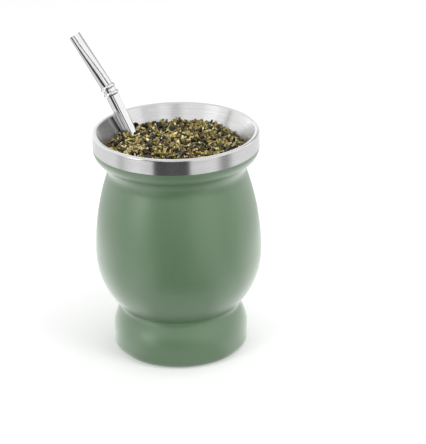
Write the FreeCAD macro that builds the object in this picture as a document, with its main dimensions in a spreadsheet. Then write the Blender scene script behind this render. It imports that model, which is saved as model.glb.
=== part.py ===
"""Double-walled steel mate cup, heaped with loose yerba leaf, with a bombilla standing in it.

Millimetres, +Z up. The origin is the centre of the flat base, and the cup turns about Z.
"""
import FreeCAD, Part

import math
import os

import Sketcher
from FreeCAD import Placement, Rotation, Vector

# Driving dimensions, all in millimetres or degrees.
SIZES = {
    # painted outer shell
    "cup_height": 112.0,
    "rim_radius": 40.0,
    "band_height": 7.6,        # bare steel band, down from the top of the lip
    "neck_radius": 31.4,
    "neck_depth": 15.2,        # down from the top of the lip
    "neck_fillet": 8.0,
    "belly_radius": 40.4,
    "belly_level": 50.5,
    "waist_radius": 27.95,
    "waist_level": 22.05,
    "waist_fillet": 2.5,
    "foot_radius": 33.1,
    "foot_level": 10.0,        # where the foot is widest
    "foot_round": 4.5,
    "shell_wall": 1.0,
    # inner vessel with its rolled lip
    "liner_wall": 1.0,
    "lip_width": 2.0,
    "lip_round": 0.9,
    "lip_thickness": 1.2,
    "bore_neck_radius": 28.7,
    "bore_neck_depth": 16.5,   # down from the top of the lip
    "bore_neck_fillet": 6.0,
    "bore_belly_radius": 34.5,
    "bore_belly_level": 57.0,
    "floor_radius": 22.0,
    "floor_level": 31.0,
    "floor_fillet": 5.0,
    # heap of leaf
    "heap_depth": 8.2,         # from the top of the lip down to where the leaf meets the wall
    "heap_rise": 2.5,          # of the middle above that level
    "heap_side_fall": 4.7,     # of the two sides below it, at the lip's radius
    "lump_height": 0.7,
    "lump_pitch": 13.0,
    # bombilla
    "tube_radius": 3.1,
    "tube_wall": 0.45,
    "straw_bearing": 137.7,    # of the place where it passes the bore's neck, about Z from +X
    "straw_clearance": 0.45,   # least, between it and the bore's neck and lip
    "straw_turn": 155.0,       # direction it leans in, about Z from +X
    "straw_lean": 27.7,        # of the stem, from upright
    "stem_above_lip": 13.2,    # along the stem, from the lip's level to the bend
    "stem_gap": 0.2,           # of the stem's lowest point above the cup's floor
    "bend_angle": 7.2,
    "bend_radius": 11.0,
    "mouth_length": 30.9,
    "mouth_round_run": 3.0,    # of the mouthpiece that stays round, at the bend
    "mouth_half_width": 3.9,
    "mouth_half_thickness": 2.3,
    "ring_width": 2.0,
    "ring_height": 0.65,
}

MOUTH_SECTIONS = 5
HEAP_GRID = 25
EPSILON = 1e-6

doc = FreeCAD.newDocument("MateCup")
sheet = doc.addObject("Spreadsheet::Sheet", "Sizes")
for row, (alias, number) in enumerate(SIZES.items(), start=1):
    sheet.set(f"A{row}", alias)
    sheet.set(f"B{row}", str(number))
    sheet.setAlias(f"B{row}", alias)
doc.recompute()


class Size:
    """A length, with the expression that works it out from the sheet."""

    def __init__(self, value, text):
        self.value = value
        self.text = text

    def __add__(self, other):
        return Size(self.value + other.value, f"({self.text} + {other.text})")

    def __sub__(self, other):
        return Size(self.value - other.value, f"({self.text} - {other.text})")


def size(alias):
    return Size(float(sheet.get(alias)), f"Sizes.{alias}")


def value(alias):
    return size(alias).value


ZERO = Size(0.0, "0 mm")


# ---------------------------------------------------------------- profiles of revolution

def upright_arc(upright, other):
    """The short arc between two points (r, z) that stands upright at the first one."""
    (r0, z0), (r1, z1) = upright, other
    dr, dz = r1 - r0, z1 - z0
    centre_r = r0 + (dr * dr + dz * dz) / (2 * dr)
    circle = Part.Circle(Vector(centre_r, z0, 0), Vector(0, 0, 1), abs(centre_r - r0))
    first = math.atan2(0.0, r0 - centre_r)
    last = math.atan2(dz, r1 - centre_r)
    if math.sin(last - first) < 0:
        first, last = last, first
    while last < first:
        last += 2 * math.pi
    return Part.ArcOfCircle(circle, first, last)


def curve_between(start, end, kind):
    """The curve from start to end: a line, or an arc that is upright at its start or its end."""
    a = (start[0].value, start[1].value)
    b = (end[0].value, end[1].value)
    if kind == "line":
        return Part.LineSegment(Vector(*a, 0), Vector(*b, 0))
    if kind == "arc from upright":
        return upright_arc(a, b)
    return upright_arc(b, a)


def ends_of(curve, start):
    """(start, end) of a sketch curve as Sketcher's point numbers, told by where the curve starts."""
    begins_here = (curve.StartPoint - Vector(start[0].value, start[1].value, 0)).Length < 1e-4
    return (1, 2) if begins_here else (2, 1)


def closed_profile(body, name, corners):
    """A closed sketch on the body's XZ plane. Each corner is (r, z, kind of curve to the next corner)."""
    sketch = body.newObject("Sketcher::SketchObject", name)
    plane = next(f for f in body.Origin.OriginFeatures if f.Role == "XZ_Plane")
    sketch.AttachmentSupport = [(plane, "")]
    sketch.MapMode = "FlatFace"
    points = [(r, z) for r, z, _ in corners]
    numbers = []
    for i, (r, z, kind) in enumerate(corners):
        after = points[(i + 1) % len(points)]
        geometry = sketch.addGeometry(curve_between((r, z), after, kind), False)
        numbers.append((geometry, *ends_of(sketch.Geometry[geometry], (r, z))))
    for i, (geometry, _, end) in enumerate(numbers):
        following, start, _ = numbers[(i + 1) % len(numbers)]
        sketch.addConstraint(Sketcher.Constraint("Coincident", geometry, end, following, start))
    for i, (r, z, kind) in enumerate(corners):
        geometry, start, end = numbers[i]
        place_point(sketch, geometry, start, r, z)
        if kind != "line":
            upright = start if kind == "arc from upright" else end
            sketch.addConstraint(Sketcher.Constraint("Horizontal", geometry, 3, geometry, upright))
    return sketch


def place_point(sketch, geometry, point, r, z):
    """Ties a sketch point to its radius and its height, by expressions on the sheet."""
    axes = (("DistanceX", r, -2), ("DistanceY", z, -1))
    for direction, length, axis in axes:
        if abs(length.value) < EPSILON:
            sketch.addConstraint(Sketcher.Constraint("PointOnObject", geometry, point, axis))
            continue
        datum = Sketcher.Constraint(direction, -1, 1, geometry, point, length.value)
        number = sketch.addConstraint(datum)
        sketch.setExpression(f"Constraints[{number}]", length.text)


def new_body(label):
    body = doc.addObject("PartDesign::Body", label)
    body.Label = label
    return body


def revolve(body, sketch):
    feature = body.newObject("PartDesign::Revolution", body.Label + "_turned")
    feature.Profile = sketch
    feature.ReferenceAxis = (sketch, ["V_Axis"])
    feature.Angle = 360
    sketch.Visibility = False
    doc.recompute()
    return feature


def ring_edge(shape, radius, level):
    """Name of the round edge about Z at that radius and level."""
    for i, edge in enumerate(shape.Edges, start=1):
        circle = edge.Curve
        if isinstance(circle, Part.Circle):
            near = abs(circle.Radius - radius) < 1e-3 and abs(circle.Center.z - level) < 1e-3
            if near and edge.Length > math.pi * radius:
                return f"Edge{i}"
    raise ValueError(f"no round edge of radius {radius} at {level}")


def fillet(body, feature, edges, radius_alias):
    """Rounds the round edges given as (radius, level), to a radius from the sheet."""
    names = [ring_edge(feature.Shape, radius, level) for radius, level in edges]
    rounded = body.newObject("PartDesign::Fillet", f"{body.Label}_{radius_alias}")
    rounded.Base = (feature, names)
    rounded.setExpression("Radius", f"Sizes.{radius_alias}")
    doc.recompute()
    return rounded


# ---------------------------------------------------------------- the cup

def build_outer_shell():
    """Painted outer wall, open at the top, where the steel band stands on it."""
    body = new_body("outer_shell")
    band_foot = size("cup_height") - size("band_height")
    neck_level = size("cup_height") - size("neck_depth")
    corners = [
        (ZERO, ZERO, "line"),
        (size("foot_radius"), ZERO, "line"),
        (size("foot_radius"), size("foot_level"), "arc from upright"),
        (size("waist_radius"), size("waist_level"), "arc to upright"),
        (size("belly_radius"), size("belly_level"), "arc from upright"),
        (size("neck_radius"), neck_level, "arc to upright"),
        (size("rim_radius"), band_foot, "line"),
        (ZERO, band_foot, "line"),
    ]
    solid = revolve(body, closed_profile(body, "shell_profile", corners))
    neck = (value("neck_radius"), neck_level.value)
    waist = (value("waist_radius"), value("waist_level"))
    foot = (value("foot_radius"), 0.0)
    solid = fillet(body, solid, [neck], "neck_fillet")
    solid = fillet(body, solid, [waist], "waist_fillet")
    solid = fillet(body, solid, [foot], "foot_round")
    top = next(
        f"Face{i}"
        for i, face in enumerate(solid.Shape.Faces, start=1)
        if isinstance(face.Surface, Part.Plane) and face.CenterOfMass.z > band_foot.value - EPSILON
    )
    hollow = body.newObject("PartDesign::Thickness", "shell_hollowed")
    hollow.Base = (solid, [top])
    hollow.Reversed = True
    hollow.setExpression("Value", "Sizes.shell_wall")
    doc.recompute()
    body.Tip = hollow
    return body


def bore_corners():
    """Corners of the inner vessel's bore, from the middle of its floor up to the lip."""
    lip = (size("rim_radius") - size("lip_width"), size("cup_height"))
    neck_level = size("cup_height") - size("bore_neck_depth")
    return [
        (ZERO, size("floor_level"), "line"),
        (size("floor_radius"), size("floor_level"), "arc to upright"),
        (size("bore_belly_radius"), size("bore_belly_level"), "arc from upright"),
        (size("bore_neck_radius"), neck_level, "line"),
        (*lip, "line"),
    ]


def build_steel_liner():
    """Inner vessel, one piece with the rolled lip and the bare band that hangs outside it."""
    body = new_body("steel_liner")
    wall = size("liner_wall")
    band_foot = size("cup_height") - size("band_height")
    band_inside = size("rim_radius") - size("shell_wall")
    under_lip = size("cup_height") - size("lip_thickness")
    neck_level = size("cup_height") - size("bore_neck_depth")
    corners = [
        *bore_corners(),
        (size("rim_radius"), size("cup_height"), "line"),
        (size("rim_radius"), band_foot, "line"),
        (band_inside, band_foot, "line"),
        (band_inside, under_lip, "line"),
        (size("bore_neck_radius") + wall, neck_level, "arc to upright"),
        (size("bore_belly_radius") + wall, size("bore_belly_level"), "arc from upright"),
        (size("floor_radius") + wall, size("floor_level") - wall, "line"),
        (ZERO, size("floor_level") - wall, "line"),
    ]
    solid = revolve(body, closed_profile(body, "liner_profile", corners))
    top = value("cup_height")
    neck, floor, floor_level = value("bore_neck_radius"), value("floor_radius"), value("floor_level")
    wall = value("liner_wall")
    lip_edges = [(value("rim_radius"), top), (value("rim_radius") - value("lip_width"), top)]
    neck_edges = [(neck, neck_level.value), (neck + wall, neck_level.value)]
    floor_edges = [(floor, floor_level), (floor + wall, floor_level - wall)]
    solid = fillet(body, solid, lip_edges, "lip_round")
    solid = fillet(body, solid, neck_edges, "bore_neck_fillet")
    body.Tip = fillet(body, solid, floor_edges, "floor_fillet")
    return body


# ---------------------------------------------------------------- the bombilla

def straw_reach():
    """How far out the straw passes the bore's neck: as far as both the neck and the lip leave room."""
    slant = math.cos(math.radians(value("straw_lean")))
    kept_off = value("straw_clearance") + value("tube_radius") / slant
    at_neck = value("bore_neck_radius") - kept_off
    at_lip = value("rim_radius") - value("lip_width") - kept_off
    drift = value("bore_neck_depth") * math.tan(math.radians(value("straw_lean")))
    swing = math.radians(value("straw_turn") - value("straw_bearing"))
    sideways = drift * math.sin(swing)
    return min(at_neck, math.sqrt(at_lip * at_lip - sideways * sideways) - drift * math.cos(swing))


def straw_frame():
    """Placement whose +Z is the stem's axis and whose origin is where the bend starts, +X outwards."""
    turn = Rotation(Vector(0, 0, 1), value("straw_turn"))
    lean = Rotation(Vector(0, 1, 0), value("straw_lean"))
    neck_level = value("cup_height") - value("bore_neck_depth")
    bearing = Rotation(Vector(0, 0, 1), value("straw_bearing"))
    at_neck = Placement(bearing.multVec(Vector(straw_reach(), 0, neck_level)), turn.multiply(lean))
    run = value("bore_neck_depth") / math.cos(math.radians(value("straw_lean"))) + value("stem_above_lip")
    return at_neck.multiply(Placement(Vector(0, 0, run), Rotation()))


def mouth_frame():
    """Placement, in the straw's frame, of the bend's far end, with +Z along the mouthpiece."""
    bend = value("bend_angle")
    radius = value("bend_radius")
    out = radius * (1 - math.cos(math.radians(bend)))
    up = radius * math.sin(math.radians(bend))
    return Placement(Vector(out, 0, up), Rotation(Vector(0, 1, 0), bend))


def stem_length():
    """From the bend down to where the slanted end stands just clear of the cup's floor."""
    lean = math.radians(value("straw_lean"))
    bend_level = straw_frame().Base.z
    end_level = value("floor_level") + value("stem_gap") + value("tube_radius") * math.sin(lean)
    return (bend_level - end_level) / math.cos(lean)


def oval(half_width, half_thickness, level):
    """A round or flattened section of the mouthpiece, wide across the plane of the bend."""
    if half_width - half_thickness < EPSILON:
        return Part.Wire(Part.Circle(Vector(0, 0, level), Vector(0, 0, 1), half_width).toShape())
    centre = Vector(0, 0, level)
    wide = Vector(0, half_width, level)
    thin = Vector(half_thickness, 0, level)
    return Part.Wire(Part.Ellipse(wide, thin, centre).toShape())


def straw_solid(shrink):
    """The bombilla's tube, solid, with its surface taken in by shrink: stem, bend and mouthpiece."""
    radius = value("tube_radius") - shrink
    length = stem_length()
    stem = Part.makeCylinder(radius, length, Vector(0, 0, -length))
    disc = Part.Face(Part.Wire(Part.makeCircle(radius)))
    bend = disc.revolve(Vector(value("bend_radius"), 0, 0), Vector(0, 1, 0), value("bend_angle"))
    sections = []
    for i in range(MOUTH_SECTIONS):
        share = i / (MOUTH_SECTIONS - 1)
        flatness = share * share * (3 - 2 * share) if i else 0.0
        half_width = value("tube_radius") + flatness * (value("mouth_half_width") - value("tube_radius"))
        half_thin = value("tube_radius") + flatness * (value("mouth_half_thickness") - value("tube_radius"))
        run = value("mouth_length") - value("mouth_round_run")
        sections.append(oval(half_width - shrink, half_thin - shrink, value("mouth_round_run") + share * run))
    mouth_run = Part.makeCylinder(radius, value("mouth_round_run"))
    mouth = Part.makeLoft(sections, True, False)
    mouth_run.Placement = mouth_frame()
    mouth.Placement = mouth_frame()
    return stem.fuse([bend, mouth_run, mouth]).removeSplitter()


def build_bombilla_tube():
    tube = straw_solid(0.0).cut(straw_solid(value("tube_wall")))
    feature = doc.addObject("Part::Feature", "bombilla_tube")
    feature.Label = "bombilla_tube"
    feature.Shape = tube
    feature.Placement = straw_frame()
    return feature


def build_bombilla_ring(label, placement):
    """A rounded bead that hugs the tube."""
    body = new_body(label)
    half = size("ring_width").value / 2
    half_width = Size(half, "(Sizes.ring_width / 2)")
    below = Size(-half, "(-Sizes.ring_width / 2)")
    outside = size("tube_radius") + size("ring_height")
    corners = [
        (size("tube_radius"), below, "arc to upright"),
        (outside, ZERO, "arc from upright"),
        (size("tube_radius"), half_width, "line"),
    ]
    revolve(body, closed_profile(body, label + "_profile", corners))
    body.Placement = placement
    return body


def build_bombilla_rings():
    """One bead on the stem below the bend, and one on the mouthpiece above it."""
    half = value("ring_width") / 2
    lower = straw_frame().multiply(Placement(Vector(0, 0, -half), Rotation()))
    upper = straw_frame().multiply(mouth_frame()).multiply(Placement(Vector(0, 0, half), Rotation()))
    places = (("bombilla_ring_lower", lower), ("bombilla_ring_upper", upper))
    return [build_bombilla_ring(label, placement) for label, placement in places]


# ---------------------------------------------------------------- the leaf

def bore_solid():
    """All the room inside the inner vessel, up to the lip."""
    corners = bore_corners()
    points = [(r, z) for r, z, _ in corners]
    edges = [
        curve_between(points[i], points[i + 1], corners[i][2]).toShape()
        for i in range(len(points) - 1)
    ]
    lip_radius = points[-1][0].value
    top, floor = value("cup_height"), value("floor_level")
    edges.append(Part.makeLine(Vector(lip_radius, top, 0), Vector(0, top, 0)))
    edges.append(Part.makeLine(Vector(0, top, 0), Vector(0, floor, 0)))
    face = Part.Face(Part.Wire(edges))
    face.rotate(Vector(0, 0, 0), Vector(1, 0, 0), 90)
    room = face.revolve(Vector(0, 0, 0), Vector(0, 0, 1), 360)
    for radius, level, rounding in (
        (value("bore_neck_radius"), top - value("bore_neck_depth"), value("bore_neck_fillet")),
        (value("floor_radius"), floor, value("floor_fillet")),
    ):
        edge = room.Edges[int(ring_edge(room, radius, level)[4:]) - 1]
        room = room.makeFillet(rounding, [edge])
    return room


def heap_top(x, y):
    """Level of the leaf's surface at (x, y): a low dome with lumps, lower at the two sides."""
    reach = value("rim_radius") - value("lip_width")
    out = min(1.0, math.hypot(x, y) / reach)
    dome = value("heap_rise") * (1 - out * out) - value("heap_side_fall") * min(1.0, abs(x) / reach) ** 4
    pitch = value("lump_pitch")
    wave = 2 * math.pi / pitch
    lumps = (
        math.sin(wave * x + 0.6) * math.cos(wave * 0.83 * y - 1.1)
        + 0.6 * math.sin(wave * (0.57 * x + 0.71 * y) + 2.3)
    )
    return value("cup_height") - value("heap_depth") + dome + value("lump_height") * lumps


def build_leaf_heap():
    """The leaf, from the cup's floor up to its uneven top, cut round the bombilla."""
    reach = max(value("rim_radius"), value("bore_belly_radius")) * 1.2
    steps = [reach * (2 * i / (HEAP_GRID - 1) - 1) for i in range(HEAP_GRID)]
    grid = [[Vector(x, y, heap_top(x, y)) for y in steps] for x in steps]
    surface = Part.BSplineSurface()
    surface.interpolate(grid)
    air = surface.toShape().extrude(Vector(0, 0, value("cup_height")))
    straw = straw_solid(0.0)
    straw.Placement = straw_frame()
    feature = doc.addObject("Part::Feature", "leaf_heap")
    feature.Label = "leaf_heap"
    feature.Shape = bore_solid().cut(air).cut(straw)
    return feature


# ---------------------------------------------------------------- checks and export

def check_document():
    for thing in doc.Objects:
        if "Invalid" in thing.State or "Error" in thing.State:
            raise RuntimeError(f"{thing.Label} failed: {thing.State}")


def export(parts):
    os.makedirs("parts", exist_ok=True)
    for part in parts:
        shape = part.Shape
        if shape.isNull() or not shape.isValid() or not shape.Solids:
            raise RuntimeError(f"{part.Label} has no valid solid")
        shape.exportStep(os.path.join("parts", part.Label + ".step"))
        print(f"{part.Label}: {len(shape.Solids)} solid, {shape.Volume / 1000:.2f} cm3")


parts = [
    build_outer_shell(),
    build_steel_liner(),
    build_bombilla_tube(),
    *build_bombilla_rings(),
    build_leaf_heap(),
]
doc.recompute()
check_document()
export(parts)
print(f"room inside the cup: {bore_solid().Volume / 1000:.0f} cm3")
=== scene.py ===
"""Looks of the mate cup: camera, studio, paint, steel, and the heap of leaf.

Metres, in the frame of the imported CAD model: +Z up, the origin under the middle of the cup.
"""

import math

import bmesh
import bpy
import numpy as np
from mathutils import Matrix, Vector, noise


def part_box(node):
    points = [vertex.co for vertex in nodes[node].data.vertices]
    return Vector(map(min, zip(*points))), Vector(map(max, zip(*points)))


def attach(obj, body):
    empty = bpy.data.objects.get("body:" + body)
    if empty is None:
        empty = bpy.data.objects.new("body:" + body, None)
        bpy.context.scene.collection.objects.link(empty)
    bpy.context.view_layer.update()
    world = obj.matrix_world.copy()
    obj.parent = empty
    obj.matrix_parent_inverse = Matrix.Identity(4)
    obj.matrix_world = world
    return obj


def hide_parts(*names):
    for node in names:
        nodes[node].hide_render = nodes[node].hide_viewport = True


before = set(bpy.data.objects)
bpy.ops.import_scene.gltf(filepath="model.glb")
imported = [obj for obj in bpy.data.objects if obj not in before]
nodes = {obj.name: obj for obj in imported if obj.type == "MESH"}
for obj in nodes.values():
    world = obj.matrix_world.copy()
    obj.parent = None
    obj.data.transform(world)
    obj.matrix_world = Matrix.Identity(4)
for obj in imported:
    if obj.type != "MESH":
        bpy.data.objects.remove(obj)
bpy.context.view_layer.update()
MM = 0.001

# ------------------------------------------------------------------ camera

CAMERA_AT = Vector((16.948, -893.863, 449.195)) * MM
CAMERA_PITCH = math.radians(23.33)      # below the horizon
CAMERA_ROLL = math.radians(1.05)
CAMERA_LENS = 162.16                    # mm, on the sensor below
CAMERA_SENSOR = 36.0


def make_camera():
    data = bpy.data.cameras.new("camera")
    data.sensor_width = CAMERA_SENSOR
    data.lens = CAMERA_LENS
    data.clip_start = 0.01
    data.clip_end = 50
    camera = bpy.data.objects.new("camera", data)
    bpy.context.scene.collection.objects.link(camera)
    forward = Vector((0, math.cos(CAMERA_PITCH), -math.sin(CAMERA_PITCH)))
    level = Vector((1, 0, 0))
    up = level.cross(forward)
    right = math.cos(CAMERA_ROLL) * level - math.sin(CAMERA_ROLL) * up
    top = math.sin(CAMERA_ROLL) * level + math.cos(CAMERA_ROLL) * up
    turn = Matrix((right, top, -forward)).transposed()
    camera.matrix_world = Matrix.Translation(CAMERA_AT) @ turn.to_4x4()
    bpy.context.scene.camera = camera


make_camera()

# ------------------------------------------------------------------ node trees


class Tree:
    """A short way to write a node tree."""

    def __init__(self, owner):
        owner.use_nodes = True
        self.tree = owner.node_tree
        self.tree.nodes.clear()

    def add(self, kind, inputs=None, **settings):
        node = self.tree.nodes.new(kind)
        for key, value in settings.items():
            setattr(node, key, value)
        for key, value in (inputs or {}).items():
            self.put(node, key, value)
        return node

    def put(self, node, key, value):
        socket = node.inputs[key]
        if isinstance(value, bpy.types.NodeSocket):
            self.tree.links.new(value, socket)
        elif isinstance(value, bpy.types.Node):
            self.tree.links.new(value.outputs[0], socket)
        else:
            socket.default_value = value

    def math(self, operation, a, b=0.0, c=0.0):
        return self.add("ShaderNodeMath", {0: a, 1: b, 2: c}, operation=operation)

    def mix(self, factor, a, b, blend="MIX"):
        node = self.add("ShaderNodeMix", data_type="RGBA", blend_type=blend)
        for key, value in ((0, factor), (6, a), (7, b)):
            self.put(node, key, value)
        return node.outputs[2]

    def ramp(self, factor, stops):
        """The colour at factor on a line of stops, each (place, colour)."""
        node = self.add("ShaderNodeValToRGB", {0: factor})
        elements = node.color_ramp.elements
        while len(elements) < len(stops):
            elements.new(0.5)
        for element, (place, colour) in zip(elements, stops):
            element.position = place
            element.color = rgba(colour)
        return node.outputs[0]

    def noise(self, vector, scale, detail=2.0, roughness=0.5):
        inputs = {"Vector": vector, "Scale": scale, "Detail": detail, "Roughness": roughness}
        return self.add("ShaderNodeTexNoise", inputs).outputs["Fac"]


def rgba(colour):
    """A grey level or a colour, as the four numbers that a colour socket takes."""
    if isinstance(colour, (int, float)):
        return (colour, colour, colour, 1.0)
    return (*colour[:3], 1.0)


def new_material(name):
    material = bpy.data.materials.new(name)
    return material, Tree(material)


def clothe(node, material):
    """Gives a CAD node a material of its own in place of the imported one."""
    slots = nodes[node].data.materials
    slots.clear()
    slots.append(material)


def smooth(node, angle=35.0):
    """Shades a CAD node smooth, up to creases sharper than the angle."""
    mesh = nodes[node].data
    for polygon in mesh.polygons:
        polygon.use_smooth = True
    mesh.set_sharp_from_angle(angle=math.radians(angle))


# ------------------------------------------------------------------ studio

WORLD_FILL = 0.50                       # what matt surfaces get from all round
FLOOR_SIZE = 8.0
FLOOR_COLOUR = 0.80
FLOOR_LIFT = 0.30                       # brings the floor to white in the picture


def window(t, x, start, end, soft):
    """1 where x lies between start and end, falling to 0 over soft on both sides."""
    edges = []
    for low, high in ((start - soft, start + soft), (end + soft, end - soft)):
        edge = t.add("ShaderNodeMapRange", {"Value": x, "From Min": low, "From Max": high})
        edge.interpolation_type = "SMOOTHSTEP"
        edges.append(edge)
    return t.math("MULTIPLY", *edges)


def painted_over(t, below, mask, shade):
    """The value below, taken to shade where mask is 1."""
    return t.math("MULTIPLY_ADD", t.math("SUBTRACT", shade, below), mask, below)


def bearing_of(t, x, y):
    """Degrees round from the front (-Y), positive to the right (+X)."""
    turn = t.math("ARCTAN2", x, t.math("MULTIPLY", y, -1.0))
    return t.math("DEGREES", turn)


# What metal and gloss see of the studio. Each panel is laid over those before it:
# (bearings, elevations, softness of each, brightness), in degrees. A side that shouldn't
# fade is put past the end of its range.
ROOM = 2.10                             # brightness where no panel is
ALL_ROUND = (-200, 200)
FROM_BELOW = -99
ROOM_PANELS = (
    ((-104, 104), (FROM_BELOW, 99), (14, 8), 1.45),       # the room's front half
    (ALL_ROUND, (8, 60), (1, 6), 1.33),                   # pale upper walls
    (ALL_ROUND, (50, 120), (1, 12), 1.10),                # ceiling
    ((-9, 9), (20, 52), (7, 8), 0.80),                    # the camera's own column
    ((132, 168), (6, 50), (4, 5), 0.55),                  # a grey wall behind, to the right
    ((28, 58), (30, 35), (5, 2), 0.10),                   # a dark rail up on the right
    ((-100, -72), (FROM_BELOW, 6), (8, 7), 0.70),         # gap left of the left lamp
    ((62, 108), (FROM_BELOW, 2), (8, 4), 0.30),           # gap right of the right lamp
    ((-66, -46), (FROM_BELOW, 18), (5, 6), 4.60),         # left lamp
    ((38, 56), (FROM_BELOW, 10), (6, 6), 1.60),           # right lamp
    ((-44, 20), (FROM_BELOW, 20), (3, 5), 0.04),          # dark end, round the camera
    ((-14, 5), (3, 15), (3, 3), 1.30),                    # a slit of light in it
    ((-6, 26), (17, 27), (3, 2), 1.30),                   # and light over it
)
# The same for the floor, with metres from the cup's axis in place of elevations: a painted glow
# of light and shade on the floor, seen only in reflections.
FLOOR_SEEN = 1.90                       # brightness where no panel is
FROM_AXIS = -1
TO_EDGE = 9
FLOOR_PANELS = (
    ((-90, 90), (FROM_AXIS, TO_EDGE), (12, 0.1), 1.35),   # front half
    (ALL_ROUND, (0.20, TO_EDGE), (1, 0.03), 1.05),        # away from the cup
    ((-62, -30), (0.18, TO_EDGE), (5, 0.03), 1.30),       # in front of the left lamp
    ((58, 76), (0.15, TO_EDGE), (7, 0.03), 0.40),         # right of the right lamp
    ((-82, -70), (0.15, TO_EDGE), (5, 0.03), 0.75),       # left of the left lamp
    ((-45, 50), (FROM_AXIS, 0.08), (10, 0.02), 0.80),     # close to the foot
    ((-30, 42), (0.09, 0.19), (8, 0.015), 0.10),          # dark arc before the foot
    ((-29, 18), (0.19, TO_EDGE), (1.5, 0.02), 0.08),      # dark way to the camera
    ((-66, -26), (0.42, TO_EDGE), (3, 0.05), 0.08),       # and far off to its left
)


def panelled(t, base, panels, bearing, other):
    """A brightness that is base wherever no panel covers it."""
    level = base
    for bearings, others, softness, shade in panels:
        mask = t.math(
            "MULTIPLY",
            window(t, bearing, *bearings, softness[0]),
            window(t, other, *others, softness[1]),
        )
        level = painted_over(t, level, mask, shade)
    return level


def make_world():
    """White behind the object, a plain fill for matt surfaces, and a studio for reflections."""
    world = bpy.data.worlds.new("studio")
    bpy.context.scene.world = world
    t = Tree(world)
    path = t.add("ShaderNodeLightPath")
    way = t.add("ShaderNodeTexCoord").outputs["Generated"]
    x, y, z = t.add("ShaderNodeSeparateXYZ", {0: way}).outputs
    elevation = t.math("DEGREES", t.math("ARCSINE", z))
    room = panelled(t, ROOM, ROOM_PANELS, bearing_of(t, x, y), elevation)
    fill = t.add("ShaderNodeBackground", {"Color": rgba(1.0), "Strength": WORLD_FILL})
    mirrored = t.add("ShaderNodeBackground", {"Color": rgba(1.0), "Strength": room})
    seen = t.add("ShaderNodeBackground", {"Color": rgba(1.0), "Strength": 1.0})
    lit = t.add("ShaderNodeMixShader", {0: path.outputs["Is Glossy Ray"], 1: fill, 2: mirrored})
    picked = t.add("ShaderNodeMixShader", {0: path.outputs["Is Camera Ray"], 1: lit, 2: seen})
    t.add("ShaderNodeOutputWorld", {"Surface": picked})


def make_floor():
    """White paper that keeps the cup's shadow; to reflections it glows with its own panels of
    painted light and painted shade.
    """
    bpy.ops.mesh.primitive_plane_add(size=FLOOR_SIZE, location=(0, 0, 0))
    floor = bpy.context.object
    floor.name = "floor"
    material, t = new_material("floor")
    path = t.add("ShaderNodeLightPath")
    paper = t.add("ShaderNodeBsdfDiffuse", {"Color": rgba(FLOOR_COLOUR)})
    lift = t.math("MULTIPLY", path.outputs["Is Camera Ray"], FLOOR_LIFT)
    glow = t.add("ShaderNodeEmission", {"Color": rgba(1.0), "Strength": lift})
    both = t.add("ShaderNodeAddShader", {0: paper, 1: glow})
    place = t.add("ShaderNodeTexCoord").outputs["Object"]
    x, y, _ = t.add("ShaderNodeSeparateXYZ", {0: place}).outputs
    squares = t.math("ADD", t.math("MULTIPLY", x, x), t.math("MULTIPLY", y, y))
    off_axis = t.math("SQRT", squares)
    mirrored = panelled(t, FLOOR_SEEN, FLOOR_PANELS, bearing_of(t, x, y), off_axis)
    # The floor glows with these panels for reflections only: painted light and painted shade, not
    # a lamp.
    painted_reflection_glow = t.add("ShaderNodeEmission", {"Color": rgba(1.0), "Strength": mirrored})
    picked = t.add("ShaderNodeMixShader", {0: path.outputs["Is Glossy Ray"], 1: both, 2: painted_reflection_glow})
    t.add("ShaderNodeOutputMaterial", {"Surface": picked})
    floor.data.materials.append(material)


LAMP_AIM = Vector((0, 0, 0.06))
LAMPS = {
    # name: (place, size, watts)
    "key_right": ((0.75, -0.55, 0.75), (0.5, 0.7), 4.5),
    "fill_left": ((-0.75, -0.65, 0.65), (0.4, 0.7), 3.5),
    "overhead": ((0.1, 0.1, 1.2), (0.8, 0.8), 5.0),
}


def area_light(name, place, size, watts):
    """A soft lamp for matt surfaces and for the shadow; reflections see the studio instead."""
    data = bpy.data.lights.new(name, "AREA")
    data.shape = "RECTANGLE"
    data.size, data.size_y = size
    data.energy = watts
    lamp = bpy.data.objects.new(name, data)
    bpy.context.scene.collection.objects.link(lamp)
    lamp.location = place
    lamp.rotation_euler = (LAMP_AIM - Vector(place)).to_track_quat("-Z", "Y").to_euler()
    lamp.visible_glossy = False


make_world()
make_floor()
for name, (place, size, watts) in LAMPS.items():
    area_light(name, place, size, watts)

# ------------------------------------------------------------------ paint and steel

PAINT_GREEN = (0.092, 0.178, 0.085)
PAINT_GREEN_DEEP = (0.084, 0.163, 0.078)
STEEL_SHADES = [(0.3, 0.53), (0.7, 0.64)]
STRETCH = 0.0015                        # metres of the brushing's pattern in a radian round
POLISH_DARK, POLISH_PALE = 0.64, 0.72
POLISH_EDGE = 0.35                      # darkens polished steel towards its outline


def paint_material():
    """Satin powder coat with a fine orange-peel surface."""
    material, t = new_material("sage_powder_coat")
    place = t.add("ShaderNodeTexCoord").outputs["Object"]
    cloud = t.noise(place, 90.0, 3.0)
    colour = t.mix(cloud, rgba(PAINT_GREEN_DEEP), rgba(PAINT_GREEN))
    grain = t.noise(place, 2600.0, 2.0)
    peel = t.noise(place, 900.0, 2.0)
    height = t.math("ADD", t.math("MULTIPLY", grain, 0.4), peel)
    bump = t.add("ShaderNodeBump", {"Height": height, "Strength": 0.25, "Distance": 0.00006})
    rough = t.math("MULTIPLY_ADD", grain, 0.08, 0.44)
    inputs = {"Base Color": colour, "Roughness": rough, "Normal": bump}
    shader = t.add("ShaderNodeBsdfPrincipled", inputs)
    shader.inputs["Specular IOR Level"].default_value = 0.5
    shader.inputs["Coat Weight"].default_value = 1.0
    shader.inputs["Coat IOR"].default_value = 1.6
    shader.inputs["Coat Roughness"].default_value = 0.40
    t.add("ShaderNodeOutputMaterial", {"Surface": shader})
    return material


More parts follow.
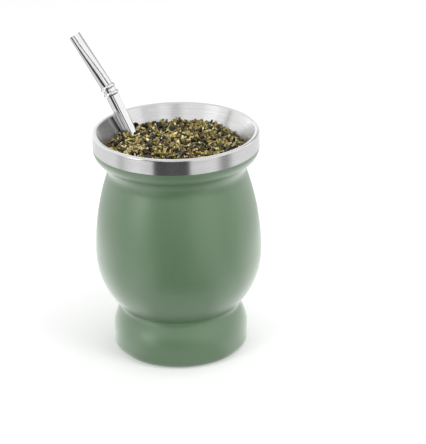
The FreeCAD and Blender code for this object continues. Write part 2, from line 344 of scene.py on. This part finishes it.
def brushed_material():
    """Steel brushed round the cup: long fine scratches that run round the axis."""
    material, t = new_material("brushed_steel")
    place = t.add("ShaderNodeTexCoord").outputs["Object"]
    x, y, z = t.add("ShaderNodeSeparateXYZ", {0: place}).outputs
    squares = t.math("ADD", t.math("POWER", x, 2.0), t.math("POWER", y, 2.0))
    off_axis = t.math("POWER", squares, 0.5)
    along = t.math("MULTIPLY", t.math("ARCTAN2", y, x), STRETCH)
    round_it = t.add("ShaderNodeCombineXYZ", {0: along, 1: off_axis, 2: z})
    scratches = t.noise(round_it, 6500.0, 3.0, 0.6)
    bands = t.noise(round_it, 1200.0, 2.0)
    rough = t.math("MULTIPLY_ADD", scratches, 0.08, 0.19)
    streaks = t.math("ADD", t.math("MULTIPLY", scratches, 0.6), t.math("MULTIPLY", bands, 0.4))
    shade = t.ramp(streaks, STEEL_SHADES)
    bump = t.add("ShaderNodeBump", {"Height": scratches, "Strength": 0.3, "Distance": 0.00001})
    tangent = t.add("ShaderNodeTangent", direction_type="RADIAL", axis="Z")
    inputs = {"Base Color": shade, "Roughness": rough, "Normal": bump, "Tangent": tangent}
    shader = t.add("ShaderNodeBsdfPrincipled", inputs)
    shader.inputs["Metallic"].default_value = 1.0
    shader.inputs["Anisotropic"].default_value = 0.8
    shader.inputs["Anisotropic Rotation"].default_value = 0.25
    t.add("ShaderNodeOutputMaterial", {"Surface": shader})
    return material


def polished_material():
    """Polished steel with faint wipe marks."""
    material, t = new_material("polished_steel")
    place = t.add("ShaderNodeTexCoord").outputs["Object"]
    marks = t.noise(place, 260.0, 4.0, 0.6)
    rough = t.math("MULTIPLY_ADD", marks, 0.05, 0.045)
    shade = t.mix(marks, rgba(POLISH_DARK), rgba(POLISH_PALE))
    shader = t.add("ShaderNodeBsdfPrincipled", {"Base Color": shade, "Roughness": rough})
    shader.inputs["Metallic"].default_value = 1.0
    shader.inputs["Specular Tint"].default_value = rgba(POLISH_EDGE)
    t.add("ShaderNodeOutputMaterial", {"Surface": shader})
    return material


clothe("outer_shell", paint_material())
clothe("steel_liner", brushed_material())
polished = polished_material()
for name in ("bombilla_tube", "bombilla_ring_lower", "bombilla_ring_upper"):
    clothe(name, polished)
for name in nodes:
    smooth(name)

# ------------------------------------------------------------------ leaf

LIP_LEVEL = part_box("steel_liner")[1].z
MOUTH_RADIUS = 38.0 * MM
NECK_RADIUS = 28.7 * MM
NECK_LEVEL = LIP_LEVEL - 16.5 * MM
NECK_ROUNDING = 0.45 * MM                # widens the bore at its rounded neck
LEAF_DEPTH = 8.2 * MM                    # of the leaf's edge below the lip
LEAF_RISE = 2.5 * MM
LEAF_SIDE_FALL = 4.7 * MM
LUMP_SPAN, LUMP_HEIGHT = 7.0 * MM, 0.9 * MM
LUMP_SLICE = 0.37                        # where the lumps' pattern is cut
STRAW_CLEARANCE = 0.45 * MM              # of the straw from the bore's neck
STRAW_RADIUS = 3.1 * MM
STRAW_TURN = math.radians(155.0)
STRAW_LEAN = math.radians(27.7)
STRAW_REACH = NECK_RADIUS - STRAW_CLEARANCE - STRAW_RADIUS / math.cos(STRAW_LEAN)
STRAW_BEARING = math.radians(137.7)
STRAW_AT = Vector((
    STRAW_REACH * math.cos(STRAW_BEARING),
    STRAW_REACH * math.sin(STRAW_BEARING),
    NECK_LEVEL,
))
STRAW_WAY = Vector((
    math.sin(STRAW_LEAN) * math.cos(STRAW_TURN),
    math.sin(STRAW_LEAN) * math.sin(STRAW_TURN),
    math.cos(STRAW_LEAN),
))
CORE_SINK = 1.9 * MM                     # of the core's top under the leaf's own top
CORE_BITE = 0.25 * MM                    # of the core into the wall
CORE_BASE = LIP_LEVEL - 20.0 * MM
CORE_RINGS, CORE_SPOKES = 64, 192
CRUMB_SPAN, CRUMB_HEIGHT = 1.6 * MM, 0.45 * MM


def bore_radius(z):
    """Radius of the cup's inside at a level above its neck."""
    slope = (MOUTH_RADIUS - NECK_RADIUS) / (LIP_LEVEL - NECK_LEVEL)
    return max(NECK_RADIUS + (z - NECK_LEVEL) * slope, NECK_RADIUS + NECK_ROUNDING)


def leaf_level(x, y):
    """Level of the leaf's top: a low dome that falls to the left and right, with lumps."""
    out = min(1.0, math.hypot(x, y) / MOUTH_RADIUS)
    side = min(1.0, abs(x) / MOUTH_RADIUS)
    dome = LEAF_RISE * (1 - out * out) - LEAF_SIDE_FALL * side ** 4
    lump = noise.noise(Vector((x, y, LUMP_SLICE)) / LUMP_SPAN) * LUMP_HEIGHT
    return LIP_LEVEL - LEAF_DEPTH + dome + lump


def straw_offset(point):
    """From the straw's axis to a point, square to the axis."""
    from_axis = point - STRAW_AT
    return from_axis - STRAW_WAY * from_axis.dot(STRAW_WAY)


def core_top(share, angle):
    """A point on the core's top, at a share of the way from its middle to the wall."""
    reach = MOUTH_RADIUS
    z = leaf_level(share * reach * math.cos(angle), share * reach * math.sin(angle))
    for _ in range(3):      # the wall's radius depends on the level, which depends on the place
        reach = bore_radius(z - CORE_SINK) + CORE_BITE
        x, y = share * reach * math.cos(angle), share * reach * math.sin(angle)
        z = leaf_level(x, y)
    crumb = noise.fractal(Vector((x, y, 0.0)) / CRUMB_SPAN, 1.0, 2.0, 3)
    return Vector((x, y, z - CORE_SINK + crumb * CRUMB_HEIGHT))


def painted_shade_leaf_core():
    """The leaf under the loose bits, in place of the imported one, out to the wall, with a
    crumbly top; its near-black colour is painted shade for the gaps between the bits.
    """
    mesh = bmesh.new()
    centre = mesh.verts.new(core_top(0.0, 0.0))
    angles = [2 * math.pi * k / CORE_SPOKES for k in range(CORE_SPOKES)]
    rows = []
    for i in range(1, CORE_RINGS + 1):
        rows.append([mesh.verts.new(core_top(i / CORE_RINGS, angle)) for angle in angles])
    reach = bore_radius(CORE_BASE) + CORE_BITE
    foot = [
        mesh.verts.new((reach * math.cos(angle), reach * math.sin(angle), CORE_BASE))
        for angle in angles
    ]
    rows.append(foot)
    for k in range(CORE_SPOKES):
        after = (k + 1) % CORE_SPOKES
        mesh.faces.new((centre, rows[0][k], rows[0][after]))
        for inner, outer in zip(rows, rows[1:]):
            mesh.faces.new((inner[k], outer[k], outer[after], inner[after]))
    mesh.faces.new(list(reversed(foot)))
    bmesh.ops.recalc_face_normals(mesh, faces=mesh.faces)
    data = bpy.data.meshes.new("painted_shade_leaf_core")
    mesh.to_mesh(data)
    mesh.free()
    for polygon in data.polygons:
        polygon.use_smooth = True
    core = bpy.data.objects.new("painted_shade_leaf_core", data)
    bpy.context.scene.collection.objects.link(core)
    return core


class Bits:
    """Many small closed shapes gathered into one mesh, with a tone for each face."""

    def __init__(self):
        self.points, self.faces, self.tones = [], [], []

    def add(self, points, faces, tones):
        start = len(self.points)
        self.points.extend(points)
        self.faces.extend(tuple(start + i for i in face) for face in faces)
        self.tones.extend(tones)

    def make(self, name):
        data = bpy.data.meshes.new(name)
        data.from_pydata(self.points, [], self.faces)
        tone = data.attributes.new("tone", "FLOAT", "FACE")
        tone.data.foreach_set("value", self.tones)
        data.shade_flat()
        data.update()
        piece = bpy.data.objects.new(name, data)
        bpy.context.scene.collection.objects.link(piece)
        return piece


BIT_SECTIONS, BIT_SIDES = 5, 6


def curled_bit(rng, length, width, thickness, curl, bend, ragged):
    """A scrap of leaf: a strip rolled about its length, tapered, bent and ragged at its edges."""
    points = []
    for i in range(BIT_SECTIONS):
        share = i / (BIT_SECTIONS - 1)
        along = (share - 0.5) * length
        taper = 0.45 + 0.55 * math.sin(math.pi * (0.12 + 0.76 * share))
        lift = bend * ((2 * share - 1) ** 2 - 0.4)
        twist = rng.uniform(-0.25, 0.25)
        for k in range(BIT_SIDES):
            around = 2 * math.pi * k / BIT_SIDES + twist
            across = math.cos(around) * width / 2 * taper * rng.uniform(1 - ragged, 1 + ragged)
            up = math.sin(around) * thickness / 2 * rng.uniform(0.7, 1.3)
            up += curl * (across / (width / 2)) ** 2 * width / 2
            shift = rng.uniform(-0.05, 0.05) * length
            points.append(Vector((along + shift, across, up + lift)))
    faces = []
    for i in range(BIT_SECTIONS - 1):
        for k in range(BIT_SIDES):
            after = (k + 1) % BIT_SIDES
            a, b = i * BIT_SIDES, (i + 1) * BIT_SIDES
            faces.append((a + k, b + k, b + after, a + after))
    faces.append(tuple(reversed(range(BIT_SIDES))))
    last = (BIT_SECTIONS - 1) * BIT_SIDES
    faces.append(tuple(range(last, last + BIT_SIDES)))
    return points, faces


KINDS = {
    # name: (count, length mm, width mm, thickness mm, curl, bend mm, ragged)
    "leaf_olive": (760, (2.2, 4.6), (1.1, 2.3), (0.6, 1.3), (0.0, 0.6), (-0.5, 0.5), 0.36),
    "leaf_dark": (860, (2.1, 4.5), (1.1, 2.4), (0.6, 1.4), (0.0, 0.7), (-0.5, 0.5), 0.36),
    "leaf_brown": (340, (1.9, 4.0), (0.9, 2.0), (0.5, 1.2), (0.0, 0.6), (-0.4, 0.4), 0.36),
    "leaf_pale": (470, (1.7, 3.8), (0.8, 1.7), (0.5, 1.1), (0.0, 0.5), (-0.4, 0.4), 0.36),
    "leaf_stalk": (220, (2.4, 5.0), (0.4, 0.8), (0.4, 0.7), (0.0, 0.05), (-0.2, 0.2), 0.12),
}
FIRST_SEED = 11
BIT_REACH = 34.6 * MM                               # of a bit's middle from the axis
BIT_LOWEST, BIT_HIGHEST = -1.9 * MM, 0.45 * MM      # of its middle, about the leaf's level
BIT_FROM_WALL = 0.6 * MM                            # least gap to its middle
BIT_FROM_STRAW = 0.5 * MM                           # least gap to its middle
BIT_SKIN = 0.05 * MM                                # least gap from wall and straw to its points
BIT_ROLL, BIT_PITCH = 0.85, 0.55                    # usual tilts, in radians
TONE_SPREAD = 0.3                                   # of one bit's faces about its tone


def kept_clear(point):
    """The point, moved if need be to just inside the wall and just outside the straw."""
    wall = bore_radius(point.z) - BIT_SKIN
    out = math.hypot(point.x, point.y)
    if out > wall:
        point.x, point.y = point.x * wall / out, point.y * wall / out
    off = straw_offset(point)
    if off.length < STRAW_RADIUS + BIT_SKIN:
        point += off.normalized() * (STRAW_RADIUS + BIT_SKIN - off.length)
    return point


def scatter(kind, seed):
    """Lays the bits of one kind over the top of the leaf, clear of the wall and of the straw."""
    rng = np.random.default_rng(seed)
    count, lengths, widths, thicknesses, curls, bends, ragged = KINDS[kind]
    bits = Bits()
    laid = 0
    while laid < count:
        reach = BIT_REACH * math.sqrt(rng.uniform(0, 1))
        angle = rng.uniform(0, 2 * math.pi)
        x, y = reach * math.cos(angle), reach * math.sin(angle)
        z = leaf_level(x, y) + rng.uniform(BIT_LOWEST, BIT_HIGHEST)
        centre = Vector((x, y, z))
        if reach > bore_radius(z) - BIT_FROM_WALL:
            continue
        if straw_offset(centre).length < STRAW_RADIUS + BIT_FROM_STRAW:
            continue
        length, width = rng.uniform(*lengths) * MM, rng.uniform(*widths) * MM
        points, faces = curled_bit(
            rng, length, width, rng.uniform(*thicknesses) * MM,
            rng.uniform(*curls), rng.uniform(*bends) * MM, ragged,
        )
        turn = (
            Matrix.Rotation(rng.uniform(0, 2 * math.pi), 3, "Z")
            @ Matrix.Rotation(rng.normal(0, BIT_PITCH), 3, "Y")
            @ Matrix.Rotation(rng.normal(0, BIT_ROLL), 3, "X")
        )
        placed = [kept_clear(centre + turn @ point) for point in points]
        tone = rng.uniform(0, 1)
        tones = [tone + rng.uniform(-TONE_SPREAD, TONE_SPREAD) for _ in faces]
        bits.add(placed, faces, tones)
        laid += 1
    return bits.make(kind)


# Each kind's colours, from its darkest bits (0) to its palest (1).
LEAF_TONES = {
    # The core is painted near black all over: painted shade for the gaps between the bits.
    "painted_shade_leaf_core": [(0.0, (0.016, 0.014, 0.008)), (1.0, (0.016, 0.014, 0.008))],
    "leaf_olive": [
        (0.0, (0.10, 0.08, 0.02)), (0.5, (0.29, 0.235, 0.06)), (1.0, (0.62, 0.52, 0.18)),
    ],
    "leaf_dark": [
        (0.0, (0.004, 0.004, 0.002)), (0.5, (0.016, 0.016, 0.009)), (1.0, (0.06, 0.055, 0.03)),
    ],
    "leaf_brown": [
        (0.0, (0.03, 0.017, 0.009)), (0.6, (0.14, 0.08, 0.03)), (1.0, (0.42, 0.23, 0.07)),
    ],
    "leaf_pale": [
        (0.0, (0.46, 0.38, 0.15)), (0.6, (0.78, 0.68, 0.34)), (1.0, (0.95, 0.88, 0.60)),
    ],
    "leaf_stalk": [(0.0, (0.22, 0.15, 0.07)), (1.0, (0.58, 0.46, 0.27))],
}
MOTTLING = [(0.32, 0.30), (0.68, 1.60)]     # what the tone is multiplied by
BIT_GRAIN, CORE_GRAIN = 1100.0, 1500.0      # specks in a metre


def leaf_material(name, grain):
    """Dry leaf: the tone of each face, with mottling and a wrinkled, dull surface."""
    material, t = new_material(name)
    place = t.add("ShaderNodeTexCoord").outputs["Object"]
    tone = t.add("ShaderNodeAttribute", attribute_name="tone").outputs["Fac"]
    colour = t.ramp(tone, LEAF_TONES[name])
    mottle = t.noise(place, grain, 3.0, 0.65)
    colour = t.mix(1.0, colour, t.ramp(mottle, MOTTLING), "MULTIPLY")
    bump = t.add("ShaderNodeBump", {"Height": mottle, "Strength": 0.8, "Distance": 0.0003})
    inputs = {"Base Color": colour, "Roughness": 0.5, "Normal": bump}
    shader = t.add("ShaderNodeBsdfPrincipled", inputs)
    shader.inputs["Specular IOR Level"].default_value = 0.35
    t.add("ShaderNodeOutputMaterial", {"Surface": shader})
    return material


# The core under the bits, in a near-black colour that is painted shade.
core = painted_shade_leaf_core()
core.data.materials.append(leaf_material("painted_shade_leaf_core", CORE_GRAIN))
pieces = [core]
for seed, kind in enumerate(KINDS, start=FIRST_SEED):
    piece = scatter(kind, seed)
    piece.data.materials.append(leaf_material(kind, BIT_GRAIN))
    pieces.append(piece)
for piece in pieces:
    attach(piece, "root")
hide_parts("leaf_heap")

bpy.context.scene.view_settings.view_transform = "Standard"
